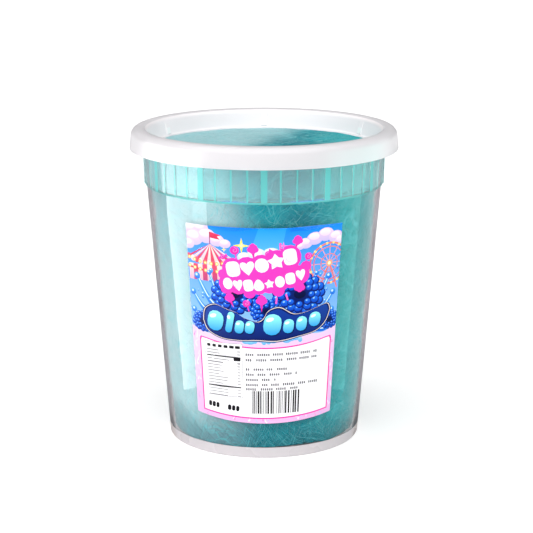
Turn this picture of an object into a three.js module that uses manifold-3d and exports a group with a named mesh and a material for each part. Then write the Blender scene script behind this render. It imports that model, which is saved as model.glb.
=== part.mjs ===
// Lidded deli tub of clear plastic, packed full of blue cotton candy, with a printed label on its front.
// Millimetres, +Z up. The origin is the middle of the foot, on the surface that the tub stands on, and -Y is the front.
import * as THREE from "three";
import { mergeVertices } from "three/addons/utils/BufferGeometryUtils.js";
import Module from "manifold-3d";

const wasm = await Module();
wasm.setup();

// Driving dimensions
const height = 141; // foot to the crest of the lid's rim
const wall = 1; // plastic thickness of the tub and the lid
const clearance = 0.3; // gap between pieces that touch
const roundSegments = 48; // facets round the tub, the lid and the cotton candy: one for each grip rib

// Tub: a foot ring, a tapered body and a grip band that steps out from it, up to the rolled rim under the lid
const footRadius = 42.2;
const footDepth = 3.2; // hollow under the floor
const footRound = 1.2;
const bodyBottomRadius = 43.1;
const bodyTopRadius = 52.55;
const floorRound = 2;
const bandBottom = 116.2;
const bandTop = 131.8;
const bandStep = 0.85; // how far the band's foot stands out from the body
const bandTopRadius = 53.8;
const ledge = 0.4; // half the height of that step
const rimRadius = 57.5;
const rimDepth = 4;
const rimRound = 2;
const rimClearance = 0.6; // free height between the tub's rim and the inside of the lid's rim

// Lid: a flat panel, sunk in a round rim whose skirt grips round the tub's rim
const lidRadius = 60; // outside of the skirt at its lower edge
const skirtBottom = 131.7;
const shoulderRadius = 59.2;
const shoulderDrop = 3.6; // crest to shoulder
const crestRadius = 55.4;
const mouthRadius = 52.4;
const mouthDrop = 2.4; // crest to the top of the recess's wall
const recessRadius = 50.6; // foot of the recess's wall
const panelTop = 132.5;
const panelRound = 1.2;

// Grip ribs round the band, and stacking lugs on the wall of the lid's recess
const ribCount = 48;
const wideRibEvery = 4;
const ribWidth = 0.7;
const wideRibWidth = 2.8;
const ribProud = 0.35;
const lugCount = 6;
const lugWidth = 2.7;
const lugHeight = 5.2;
const lugProud = 0.5;
const barRoot = 0.6 * wall; // depth that a rib or lug is sunk in its wall

// Label: a sheet with a curved lower edge, wrapped on the tapered body
const labelHalfAngle = THREE.MathUtils.degToRad(40.5);
const labelTop = 105.4;
const labelBottom = 19.2; // at its two lower corners
const labelSag = 2.7; // how far the middle of its lower edge hangs below those corners
const labelThickness = 0.25;
const labelGap = 0.25;

// Cotton candy: it fills the tub
const candyHeel = 2.6; // rounding of its lower edge
const candyShoulder = 2.2; // rounding of its upper edge
const candySideDent = 0.9; // deepest dent in its side
const candyTopDent = 1.5; // deepest dent in its top
const candySideSteps = 8;
const candyTopSteps = 5;

const panelBottom = panelTop - wall;
const floorTop = footDepth + wall;
const bandRadius = bodyTopRadius + bandStep;

// The outer radius of the tapered body at a height.
function bodyRadius(z) {
  return THREE.MathUtils.mapLinear(z, 0, bandBottom, bodyBottomRadius, bodyTopRadius);
}

// A profile of (radius, height) points turned about Z.
function turned(profile, curveSteps = 3) {
  return new THREE.LatheGeometry(profile.getPoints(curveSteps), roundSegments).rotateX(Math.PI / 2);
}

// A closed geometry as a solid that can be joined to others, and back.
function solidOf(geometry) {
  const bare = geometry.clone().deleteAttribute("normal").deleteAttribute("uv");
  const merged = mergeVertices(bare, 1e-4);
  return new wasm.Manifold(
    new wasm.Mesh({
      numProp: 3,
      vertProperties: merged.attributes.position.array,
      triVerts: new Uint32Array(merged.index.array),
    }),
  );
}

function geometryOf(solid) {
  const mesh = solid.getMesh();
  const geometry = new THREE.BufferGeometry();
  geometry.setAttribute("position", new THREE.BufferAttribute(mesh.vertProperties, 3));
  geometry.setIndex(new THREE.BufferAttribute(mesh.triVerts, 1));
  geometry.computeVertexNormals();
  return geometry;
}

// A bar along a wall of revolution, from low to high, two (radius, height) points on the wall's face, at an angle
// round Z. It stands proud of that face: outwards is 1 on the wall's outer side and -1 on its inner side.
function wallBar(low, high, angle, width, proud, outwards) {
  const along = high.clone().sub(low);
  const middle = low.clone().add(high).multiplyScalar(0.5);
  const bar = new THREE.BoxGeometry(proud + barRoot, width, along.length());
  bar.translate((outwards * (proud - barRoot)) / 2, 0, 0);
  bar.rotateY(Math.atan2(along.x, along.y));
  bar.translate(middle.x, 0, middle.y);
  bar.rotateZ(angle);
  return solidOf(bar);
}

function tubGeometry() {
  const footInside = footRadius - wall;
  const rimTop = height - wall - rimClearance;
  const rimBottom = rimTop - rimDepth;
  const stepTop = bandBottom + ledge;
  const stepFoot = bandBottom - ledge;
  const p = new THREE.Path();
  p.moveTo(0, footDepth);
  p.lineTo(footInside - footRound, footDepth);
  p.quadraticCurveTo(footInside, footDepth, footInside, footDepth - footRound);
  p.lineTo(footInside, 0);
  p.lineTo(footRadius, 0);
  p.quadraticCurveTo(bodyRadius(0), 0, bodyRadius(footRound), footRound);
  p.lineTo(bodyRadius(stepFoot), stepFoot);
  p.lineTo(bandRadius, stepTop);
  p.lineTo(bandTopRadius, bandTop);
  p.quadraticCurveTo(bandTopRadius, rimBottom, rimRadius - rimRound, rimBottom);
  p.quadraticCurveTo(rimRadius, rimBottom, rimRadius, rimBottom + rimRound);
  p.quadraticCurveTo(rimRadius, rimTop, rimRadius - rimRound, rimTop);
  p.quadraticCurveTo(bandTopRadius, rimTop, bandTopRadius, rimTop - rimRound);
  p.lineTo(bandTopRadius - wall, bandTop + wall);
  p.lineTo(bandRadius - wall, stepTop + ledge);
  p.lineTo(bodyRadius(stepFoot) - wall, stepFoot + ledge);
  p.lineTo(bodyRadius(floorTop + floorRound) - wall, floorTop + floorRound);
  p.quadraticCurveTo(bodyRadius(floorTop) - wall, floorTop, bodyRadius(floorTop) - wall - floorRound, floorTop);
  p.lineTo(0, floorTop);

  let tub = solidOf(turned(p));
  const ribFoot = new THREE.Vector2(bandRadius, stepTop);
  const ribHead = new THREE.Vector2(bandTopRadius, bandTop);
  for (let i = 0; i < ribCount; i++) {
    const angle = -Math.PI / 2 + (i / ribCount) * 2 * Math.PI;
    const width = i % wideRibEvery === 0 ? wideRibWidth : ribWidth;
    tub = tub.add(wallBar(ribFoot, ribHead, angle, width, ribProud, 1));
  }
  return geometryOf(tub);
}

function lidGeometry() {
  const shoulder = height - shoulderDrop;
  const mouth = height - mouthDrop;
  const p = new THREE.Path();
  p.moveTo(0, panelBottom);
  p.lineTo(recessRadius - panelRound, panelBottom);
  p.quadraticCurveTo(recessRadius + wall, panelBottom, recessRadius + wall, panelTop + panelRound);
  p.lineTo(mouthRadius + wall, mouth);
  p.quadraticCurveTo(mouthRadius + wall, height - wall, crestRadius, height - wall);
  p.quadraticCurveTo(shoulderRadius - wall, height - wall, shoulderRadius - wall, shoulder);
  p.lineTo(lidRadius - wall, skirtBottom);
  p.lineTo(lidRadius, skirtBottom);
  p.lineTo(shoulderRadius, shoulder);
  p.quadraticCurveTo(shoulderRadius, height, crestRadius, height);
  p.quadraticCurveTo(mouthRadius, height, mouthRadius, mouth);
  p.lineTo(recessRadius, panelTop + panelRound);
  p.quadraticCurveTo(recessRadius, panelTop, recessRadius - panelRound, panelTop);
  p.lineTo(0, panelTop);

  let lid = solidOf(turned(p));
  const wallFoot = new THREE.Vector2(recessRadius, panelTop + panelRound);
  const wallHead = new THREE.Vector2(mouthRadius, mouth);
  const upWall = wallHead.sub(wallFoot).normalize();
  const lugFoot = wallFoot.clone().addScaledVector(upWall, -panelRound / 2);
  const lugHead = lugFoot.clone().addScaledVector(upWall, lugHeight);
  for (let i = 0; i < lugCount; i++) {
    const angle = Math.PI / 2 + (i / lugCount) * 2 * Math.PI;
    lid = lid.add(wallBar(lugFoot, lugHead, angle, lugWidth, lugProud, -1));
  }
  return geometryOf(lid);
}

// Soft dents, from 0 to 1, over an angle round Z and a distance along the surface.
function dent(angle, along) {
  const broad = Math.sin(3 * angle + along / 17) * Math.cos(2 * angle - along / 23);
  const fine = Math.sin(7 * angle - along / 9) * Math.cos(5 * angle + along / 12);
  return THREE.MathUtils.clamp(0.5 + 0.5 * broad + 0.25 * fine, 0, 1);
}

// The spun sugar is pressed against the tub's wall and floor and the lid's panel, and dented where it isn't.
function candyGeometry() {
  const bottom = floorTop + clearance;
  const top = panelBottom - clearance;
  const inset = wall + clearance;
  const heel = bottom + candyHeel;
  const mouthInside = bandTopRadius - inset - clearance;
  const flatRadius = mouthInside - candyShoulder;
  const p = new THREE.Path();
  p.moveTo(0, bottom);
  p.lineTo(bodyRadius(bottom) - inset - candyHeel, bottom);
  p.quadraticCurveTo(bodyRadius(bottom) - inset, bottom, bodyRadius(heel) - inset, heel);
  for (let i = 1; i <= candySideSteps; i++) {
    const z = THREE.MathUtils.lerp(heel, bandBottom + ledge, i / candySideSteps);
    p.lineTo(bodyRadius(z) - inset, z);
  }
  p.lineTo(bandRadius - inset, bandBottom + 5 * ledge);
  p.lineTo(mouthInside, top - candyShoulder);
  p.quadraticCurveTo(mouthInside, top, flatRadius, top);
  for (let i = candyTopSteps - 1; i >= 0; i--) p.lineTo((flatRadius * i) / candyTopSteps, top);

  const geometry = turned(p);
  const at = geometry.attributes.position;
  for (let i = 0; i < at.count; i++) {
    const z = at.getZ(i);
    const radius = Math.hypot(at.getX(i), at.getY(i));
    const angle = Math.atan2(at.getY(i), at.getX(i));
    const onSide = THREE.MathUtils.smoothstep(z, heel, heel + 4 * candyHeel);
    const onTop = THREE.MathUtils.smoothstep(z, top - candyShoulder / 2, top);
    const offAxis = THREE.MathUtils.smoothstep(radius, 0, flatRadius / 4);
    const pushIn = candySideDent * onSide * dent(angle, z);
    const pushDown = candyTopDent * onTop * THREE.MathUtils.lerp(0.5, dent(angle + 1, 2 * radius), offAxis);
    const inwards = 1 - (pushIn * offAxis) / Math.max(radius, 1);
    at.setXYZ(i, at.getX(i) * inwards, at.getY(i) * inwards, z - pushDown);
  }
  return geometry;
}

// A flat sheet, bent round the body: its width becomes the angle round Z, its length the height.
function labelGeometry() {
  const sheet = new THREE.BoxGeometry(2, 1, labelThickness, 24, 4, 1);
  const at = sheet.attributes.position;
  for (let i = 0; i < at.count; i++) {
    const across = at.getX(i); // -1 to 1
    const up = at.getY(i) + 0.5; // 0 to 1
    const bottom = labelBottom - labelSag * (1 - across * across);
    const z = THREE.MathUtils.lerp(bottom, labelTop, up);
    const radius = bodyRadius(z) + labelGap + labelThickness / 2 + at.getZ(i);
    const angle = -Math.PI / 2 + across * labelHalfAngle;
    at.setXYZ(i, radius * Math.cos(angle), radius * Math.sin(angle), z);
  }
  return sheet;
}

const clearPlastic = new THREE.MeshStandardMaterial({
  color: 0xeef3f4,
  roughness: 0.12,
  metalness: 0,
  transparent: true,
  opacity: 0.3,
});
const milkyPlastic = new THREE.MeshStandardMaterial({
  color: 0xf4f3f6,
  roughness: 0.35,
  metalness: 0,
  transparent: true,
  opacity: 0.6,
});
const spunSugar = new THREE.MeshStandardMaterial({ color: 0x5fb6bf, roughness: 0.9, metalness: 0 });
const printedLabel = new THREE.MeshStandardMaterial({ color: 0xf2a9d8, roughness: 0.3, metalness: 0 });

const group = new THREE.Group();
for (const [name, geometry, material] of [
  ["tub", tubGeometry(), clearPlastic],
  ["lid", lidGeometry(), milkyPlastic],
  ["cotton_candy", candyGeometry(), spunSugar],
  ["label", labelGeometry(), printedLabel],
]) {
  const mesh = new THREE.Mesh(geometry, material);
  mesh.name = name;
  group.add(mesh);
}

export default group;
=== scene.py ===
import math
import random

import bmesh
import bpy
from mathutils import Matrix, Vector
from mathutils.geometry import delaunay_2d_cdt


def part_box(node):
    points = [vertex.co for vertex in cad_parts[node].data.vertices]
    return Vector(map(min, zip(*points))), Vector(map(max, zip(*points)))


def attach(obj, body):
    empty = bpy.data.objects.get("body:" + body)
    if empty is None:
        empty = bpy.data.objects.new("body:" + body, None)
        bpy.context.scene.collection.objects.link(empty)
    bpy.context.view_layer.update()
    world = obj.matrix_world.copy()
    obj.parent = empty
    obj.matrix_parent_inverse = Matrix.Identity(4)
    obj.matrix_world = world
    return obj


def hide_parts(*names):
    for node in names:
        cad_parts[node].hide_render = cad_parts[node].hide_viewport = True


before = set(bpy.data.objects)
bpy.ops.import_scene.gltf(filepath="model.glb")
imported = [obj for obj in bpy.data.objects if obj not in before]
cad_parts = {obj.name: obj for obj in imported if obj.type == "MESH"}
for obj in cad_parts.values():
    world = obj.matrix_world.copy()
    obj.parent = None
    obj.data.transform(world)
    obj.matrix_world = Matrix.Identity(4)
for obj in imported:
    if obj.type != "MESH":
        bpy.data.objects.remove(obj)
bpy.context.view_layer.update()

mm = 0.001
_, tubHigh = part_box("tub")
_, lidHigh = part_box("lid")
wall = 1.0 * mm  # plastic thickness of the tub and the lid


# Node helpers, for shader trees and Geometry Nodes trees alike
def setSocket(tree, socket, value):
    if isinstance(value, bpy.types.NodeSocket):
        tree.links.new(value, socket)
    elif value is not None:
        socket.default_value = value


def setSockets(tree, node, values):
    for name, value in values.items():
        setSocket(tree, node.inputs[name], value)


def addNode(tree, kind, inputs=None, **settings):
    node = tree.nodes.new(kind)
    for name, value in settings.items():
        setattr(node, name, value)
    setSockets(tree, node, inputs or {})
    return node


def calc(tree, operation, *values):
    node = addNode(tree, "ShaderNodeMath", operation=operation)
    for socket, value in zip(node.inputs, values):
        setSocket(tree, socket, value)
    return node.outputs[0]


def vectorCalc(tree, operation, *values):
    node = addNode(tree, "ShaderNodeVectorMath", operation=operation)
    for socket, value in zip(node.inputs, values):
        setSocket(tree, socket, value)
    return node.outputs["Value" if operation in ("LENGTH", "DOT_PRODUCT") else "Vector"]


def scaled(tree, vector, factor):
    node = addNode(tree, "ShaderNodeVectorMath", {"Vector": vector, "Scale": factor}, operation="SCALE")
    return node.outputs[0]


def mapRange(tree, value, fromLow, fromHigh, toLow, toHigh, smooth=False):
    node = addNode(tree, "ShaderNodeMapRange", interpolation_type="SMOOTHSTEP" if smooth else "LINEAR")
    for socket, given in zip(node.inputs, (value, fromLow, fromHigh, toLow, toHigh)):
        setSocket(tree, socket, given)
    return node.outputs["Result"]


def split(tree, vector):
    return addNode(tree, "ShaderNodeSeparateXYZ", {"Vector": vector}).outputs


def joined(tree, x, y, z):
    return addNode(tree, "ShaderNodeCombineXYZ", {"X": x, "Y": y, "Z": z}).outputs[0]


def noiseFactor(tree, vector, scale, detail=2.0):
    return addNode(tree, "ShaderNodeTexNoise", {"Vector": vector, "Scale": scale, "Detail": detail}).outputs[0]


def mixColour(tree, factor, first, second, blend="MIX"):
    node = addNode(tree, "ShaderNodeMix", data_type="RGBA", blend_type=blend)
    for i, value in ((0, factor), (6, first), (7, second)):
        setSocket(tree, node.inputs[i], value)
    return node.outputs[2]


def newTree(kind, name, inputs, outputs):
    tree = bpy.data.node_groups.new(name, kind)
    for label, socketType, value in inputs:
        socket = tree.interface.new_socket(label, in_out="INPUT", socket_type="NodeSocket" + socketType)
        if value is not None:
            socket.default_value = value
    for label, socketType in outputs:
        tree.interface.new_socket(label, in_out="OUTPUT", socket_type="NodeSocket" + socketType)
    given = tree.nodes.new("NodeGroupInput").outputs
    made = tree.nodes.new("NodeGroupOutput").inputs
    return tree, given, made


def newObject(name, data):
    obj = bpy.data.objects.new(name, data)
    bpy.context.scene.collection.objects.link(obj)
    return obj


def grow(name, mesh, *stages):
    # Runs the mesh through Geometry Nodes trees, each with its named values, and keeps the plain result.
    obj = newObject(name, mesh)
    for tree, values in stages:
        modifier = obj.modifiers.new(tree.name, "NODES")
        modifier.node_group = tree
        for item in tree.interface.items_tree:
            if item.in_out == "INPUT" and item.name in values:
                modifier[item.identifier] = values[item.name]
    graph = bpy.context.evaluated_depsgraph_get()
    plain = bpy.data.meshes.new_from_object(
        obj.evaluated_get(graph), preserve_all_data_layers=True, depsgraph=graph)
    obj.modifiers.clear()
    obj.data = plain
    return obj


def faceOutwards(obj):
    work = bmesh.new()
    work.from_mesh(obj.data)
    if work.calc_volume(signed=True) < 0:
        bmesh.ops.reverse_faces(work, faces=work.faces)
    work.to_mesh(obj.data)
    work.free()


def smooth(obj, sharpAngle=35):
    obj.data.shade_smooth()
    obj.data.set_sharp_from_angle(angle=math.radians(sharpAngle))


# Camera
camera = {
    "distance": 782.5 * mm, "height": 263.4 * mm, "tilt": 13.43,
    "lens": 119.6, "sensor": 36, "shift": 0.00465, "near": 10 * mm,
}
cameraData = bpy.data.cameras.new("camera")
cameraData.lens = camera["lens"]
cameraData.sensor_width = camera["sensor"]
cameraData.shift_x = camera["shift"]
cameraData.clip_start = camera["near"]
cameraObject = newObject("camera", cameraData)
cameraObject.location = (0, -camera["distance"], camera["height"])
cameraObject.rotation_euler = (math.radians(90 - camera["tilt"]), 0, 0)
bpy.context.scene.camera = cameraObject
bpy.context.scene.view_settings.view_transform = "Standard"
print("camera ready")


# Materials
def newMaterial(name):
    material = bpy.data.materials.new(name)
    material.use_nodes = True
    tree = material.node_tree
    return material, tree, tree.nodes["Principled BSDF"]


def objectPlace(tree):
    return addNode(tree, "ShaderNodeTexCoord").outputs["Object"]


def mouldedGroup():
    # Slight waviness and cloudiness of moulded plastic.
    tree, given, made = newTree("ShaderNodeTree", "mouldedPlastic", [
        ("Vector", "Vector", None), ("Clear Roughness", "Float", 0.03), ("Cloudy Roughness", "Float", 0.1),
    ], [("Roughness", "Float"), ("Height", "Float")])
    cloud = noiseFactor(tree, given["Vector"], 45.0, 3.0)
    mask = mapRange(tree, cloud, 0.35, 0.65, 0.0, 1.0, smooth=True)
    rough = mapRange(tree, mask, 0.0, 1.0, given["Clear Roughness"], given["Cloudy Roughness"])
    setSocket(tree, made["Roughness"], rough)
    setSocket(tree, made["Height"], noiseFactor(tree, given["Vector"], 90.0, 1.0))
    return tree


def letLampsThrough(tree, shader, tint):
    # The lamps reach what is inside: a shadow ray passes the plastic with a slight tint.
    output = tree.nodes["Material Output"]
    lamps = addNode(tree, "ShaderNodeBsdfTransparent", {"Color": tint})
    ray = addNode(tree, "ShaderNodeLightPath")
    mixed = addNode(tree, "ShaderNodeMixShader", {"Fac": ray.outputs["Is Shadow Ray"]})
    tree.links.new(shader.outputs[0], mixed.inputs[1])
    tree.links.new(lamps.outputs[0], mixed.inputs[2])
    tree.links.new(mixed.outputs[0], output.inputs["Surface"])


moulded = mouldedGroup()
plasticIndex = 1.49


def mouldedSkin(tree, clearRough, cloudyRough):
    return addNode(tree, "ShaderNodeGroup", {
        "Vector": objectPlace(tree), "Clear Roughness": clearRough, "Cloudy Roughness": cloudyRough,
    }, node_tree=moulded).outputs


def bumpNormal(tree, height, strength, distance):
    bump = addNode(tree, "ShaderNodeBump", {"Height": height, "Strength": strength, "Distance": distance})
    return bump.outputs[0]


def plastic(name, colour, edgeColour, transmission, clearRough, cloudyRough, shade,
            specular=(1, 1, 1, 1), edge=(0.66, 0.8)):
    material, tree, shader = newMaterial(name)
    skin = mouldedSkin(tree, clearRough, cloudyRough)
    # painted shade: the colour turns to edgeColour where the plastic is seen at a grazing angle
    facing = addNode(tree, "ShaderNodeLayerWeight", {"Blend": 0.5}).outputs["Facing"]
    grazing = mapRange(tree, facing, edge[0], edge[1], 0.0, 1.0, smooth=True)
    setSockets(tree, shader, {
        "Base Color": mixColour(tree, grazing, colour, edgeColour), "Roughness": skin["Roughness"],
        "IOR": plasticIndex, "Specular Tint": specular, "Transmission Weight": transmission,
        "Normal": bumpNormal(tree, skin["Height"], 0.15, 0.3 * mm),
    })
    letLampsThrough(tree, shader, (shade, shade, shade, 1))
    return material


def twistedSpace(tree, vector, angle):
    return addNode(tree, "ShaderNodeVectorRotate", {"Vector": vector, "Angle": angle},
                   rotation_type="Z_AXIS").outputs[0]


def fibreGroup():
    # Fine fibres that wind round the Z axis: a noise stretched along Z, in space twisted about Z.
    tree, given, made = newTree("ShaderNodeTree", "spunFibres", [
        ("Vector", "Vector", None), ("Twist", "Float", 30.0),
        ("Fineness", "Float", 900.0), ("Stretch", "Float", 0.1),
    ], [("Fibre", "Float")])
    z = split(tree, given["Vector"])["Z"]
    wander = mapRange(tree, noiseFactor(tree, given["Vector"], 28.0), 0.3, 0.7, -0.4, 0.4)
    angle = calc(tree, "ADD", calc(tree, "MULTIPLY", z, given["Twist"]), wander)
    x, y, height = split(tree, twistedSpace(tree, given["Vector"], angle))
    long = joined(tree, x, y, calc(tree, "MULTIPLY", height, given["Stretch"]))
    setSocket(tree, made["Fibre"], noiseFactor(tree, long, given["Fineness"], 3.0))
    return tree


fibres = fibreGroup()


def thinPanel(name, veil, cover):
    # The lid's flat middle lies close on the sugar, so only a thin veil and a gloss of it are seen.
    material, tree, shader = newMaterial(name)
    rough = mouldedSkin(tree, 0.05, 0.12)["Roughness"]
    setSockets(tree, shader, {"Base Color": veil, "Roughness": rough, "IOR": plasticIndex, "Alpha": cover})
    return material


# Where light and shade are painted on the sugar: paler towards -X and under the lid, lighter towards +X, deeper
# at the bottom
paintedLightAndShade = {
    "swayScale": 26.0, "sway": 30 * mm, "paleEnd": -26 * mm,
    "lid": (125 * mm, 131 * mm), "lidFront": 45 * mm, "lidLean": -0.3,
    "rim": (-48 * mm, -36 * mm), "rimFront": 30 * mm, "rimLean": 0.3, "rimPale": 0.2,
    "front": (-15 * mm, 20 * mm), "backPale": 0.35,
    "right": (14 * mm, 40 * mm), "rightShare": 0.6, "rightColour": (0.025, 0.47, 0.48, 1),
    "bottom": (6 * mm, 24 * mm), "bottomSway": 12 * mm, "bottomShare": 0.7,
    "bottomColour": (0.003, 0.13, 0.17, 1),
}


def paintLightAndShade(tree, place, colour, litColour, full):
    # Painted light and shade: the sugar is painted paler towards -X and under the lid, where light and gloss
    # from the left fall, and lighter and greener towards +X; painted shade makes it deeper in colour at the
    # bottom.
    def eased(value, name, low, high):
        return mapRange(tree, value, *paintedLightAndShade[name], low, high, smooth=True)

    def offset(value, name):
        return calc(tree, "ADD", value, paintedLightAndShade[name])

    x, y, z = split(tree, place)
    sway = calc(tree, "SUBTRACT", noiseFactor(tree, place, paintedLightAndShade["swayScale"], 2.0), 0.5)
    high = eased(z, "lid", 0.0, 1.0)
    shift = calc(tree, "MULTIPLY", calc(tree, "MULTIPLY", offset(y, "lidFront"), paintedLightAndShade["lidLean"]), high)
    across = calc(tree, "MULTIPLY_ADD", sway, paintedLightAndShade["sway"], calc(tree, "ADD", x, shift))
    # painted light: paler towards -X, leaning with y under the lid, less so at the back and next to the
    # far-left wall
    pale = mapRange(tree, across, paintedLightAndShade["paleEnd"], 0, full, 0.0, smooth=True)
    inward = calc(tree, "MULTIPLY_ADD", offset(y, "rimFront"), paintedLightAndShade["rimLean"], x)
    pale = calc(tree, "MULTIPLY", pale, eased(inward, "rim", paintedLightAndShade["rimPale"], 1.0))
    front = eased(y, "front", 1.0, paintedLightAndShade["backPale"])
    pale = calc(tree, "MULTIPLY", pale, calc(tree, "MAXIMUM", front, high))
    # painted light: a lighter, greener teal towards +X
    right = eased(x, "right", 0.0, paintedLightAndShade["rightShare"])
    litSugar = mixColour(tree, pale, mixColour(tree, right, colour, paintedLightAndShade["rightColour"]), litColour)
    # painted shade: deeper in colour towards the bottom
    lowest = calc(tree, "MULTIPLY_ADD", sway, paintedLightAndShade["bottomSway"], z)
    shadedBelow = eased(lowest, "bottom", paintedLightAndShade["bottomShare"], 0.0)
    return mixColour(tree, shadedBelow, litSugar, paintedLightAndShade["bottomColour"])


def spunSugar(name, deep, middle, pale, lift):
    material, tree, shader = newMaterial(name)
    place = objectPlace(tree)
    layers = []
    for twist, fineness in ((22.0, 1100.0), (-30.0, 900.0)):
        layer = addNode(tree, "ShaderNodeGroup", {"Vector": place, "Twist": twist, "Fineness": fineness},
                        node_tree=fibres)
        layers.append(layer.outputs["Fibre"])
    fibre = calc(tree, "MAXIMUM", *layers)
    tone = noiseFactor(tree, place, 38.0, 3.0)
    body = mixColour(tree, mapRange(tree, tone, 0.35, 0.65, 0.0, 1.0, smooth=True), deep, middle)
    # painted light and shade: (0.42, 0.62, 0.65) is the painted lit colour towards -X
    body = paintLightAndShade(tree, place, body, (0.42, 0.62, 0.65, 1), 0.95)
    streak = mapRange(tree, fibre, 0.54, 0.68, 0.0, lift)
    setSockets(tree, shader, {
        "Base Color": mixColour(tree, streak, body, pale), "Roughness": 0.85, "Specular IOR Level": 0.02,
        "Normal": bumpNormal(tree, fibre, 0.9, 0.35 * mm),
    })
    return material


def strandSugar(name, low, high):
    material, tree, shader = newMaterial(name)
    tint = addNode(tree, "ShaderNodeAttribute", attribute_name="tint").outputs["Fac"]
    tint = mapRange(tree, tint, 0.2, 1.0, 0.0, 1.0)
    # painted light and shade on the strands, with (0.56, 0.76, 0.79) as the painted lit colour
    colour = paintLightAndShade(tree, objectPlace(tree), mixColour(tree, tint, low, high), (0.56, 0.76, 0.79, 1), 0.8)
    setSockets(tree, shader, {"Base Color": colour, "Roughness": 0.8, "Specular IOR Level": 0.02})
    return material


dimGloss = (0.35, 0.35, 0.35, 1)
clear = plastic("clearPlastic", (0.98, 0.985, 0.985, 1), (0.24, 0.22, 0.25, 1), 1.0, 0.02, 0.05, 0.94, dimGloss)
frosted = plastic("frostedBand", (0.74, 0.97, 0.98, 1), (0.5, 0.48, 0.52, 1), 0.86, 0.10, 0.18, 0.9, dimGloss)
ribTint = plastic("ribPlastic", (0.20, 0.76, 0.73, 1), (0.2, 0.6, 0.6, 1), 0.45, 0.18, 0.25, 0.9, dimGloss)
hazyFoot = plastic("footPlastic", (0.62, 0.585, 0.605, 1), (0.55, 0.49, 0.48, 1), 0.06, 0.25, 0.35, 0.8,
                   dimGloss)
panelClear = thinPanel("lidPanel", (0.10, 0.72, 0.75, 1), 0.10)
milky = plastic("milkyPlastic", (0.79, 0.77, 0.79, 1), (0.52, 0.48, 0.53, 1), 0.3, 0.28, 0.36, 0.7,
                edge=(0.84, 1.0))
# painted light: a lighter copy of the milky plastic for the lid's inner wall
lidInsideLit = plastic("lidInsideLit", (0.985, 0.925, 0.94, 1), (0.97, 0.92, 0.935, 1), 0.05, 0.3, 0.36, 0.7,
                    edge=(0.8, 1.0))
lugMilky = plastic("lugPlastic", (1.0, 1.0, 1.0, 1), (1.0, 1.0, 1.0, 1), 0.0, 0.3, 0.36, 0.7)
sugar = spunSugar("sugarCore", (0.003, 0.15, 0.20, 1), (0.006, 0.29, 0.35, 1), (0.10, 0.52, 0.57, 1), 0.6)
paleStrand = strandSugar("sugarStrand", (0.003, 0.24, 0.30, 1), (0.26, 0.66, 0.70, 1))
print("materials ready")


# Profiles, as (radius, height) points
def filleted(corners, arcStep=12):
    # Corners are (radius, height, rounding); each rounding becomes an arc.
    points = []
    for i, (r, z, rounding) in enumerate(corners):
        here = Vector((r, z))
        if rounding == 0:
            points.append(here)
            continue
        back = (Vector(corners[i - 1][:2]) - here).normalized()
        on = (Vector(corners[i + 1][:2]) - here).normalized()
        half = back.angle(on) / 2
        centre = here + (back + on).normalized() * rounding / math.sin(half)
        start = (here + back * rounding / math.tan(half) - centre).normalized()
        end = (here + on * rounding / math.tan(half) - centre).normalized()
        steps = max(2, math.ceil(math.degrees(start.angle(end)) / arcStep))
        points += [centre + start.slerp(end, step / steps).normalized() * rounding for step in range(steps + 1)]
    return points


def evenly(points, spacing):
    spaced = [points[0]]
    for a, b in zip(points, points[1:]):
        steps = max(1, round((b - a).length / spacing))
        spaced += [a.lerp(b, step / steps) for step in range(1, steps + 1)]
    return spaced


def profileMesh(name, points):
    mesh = bpy.data.meshes.new(name)
    mesh.from_pydata([(p.x, 0, p.y) for p in points], [], [])
    return mesh


# Geometry Nodes: turns a profile about Z, with ribs of two widths raised on one stretch of it
stepSegments = 8  # segments from the middle of one gap between ribs to the next
finishes = ("Material", "Foot Material", "Band Material", "Lining Material", "Rib Material", "Middle Material")


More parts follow.
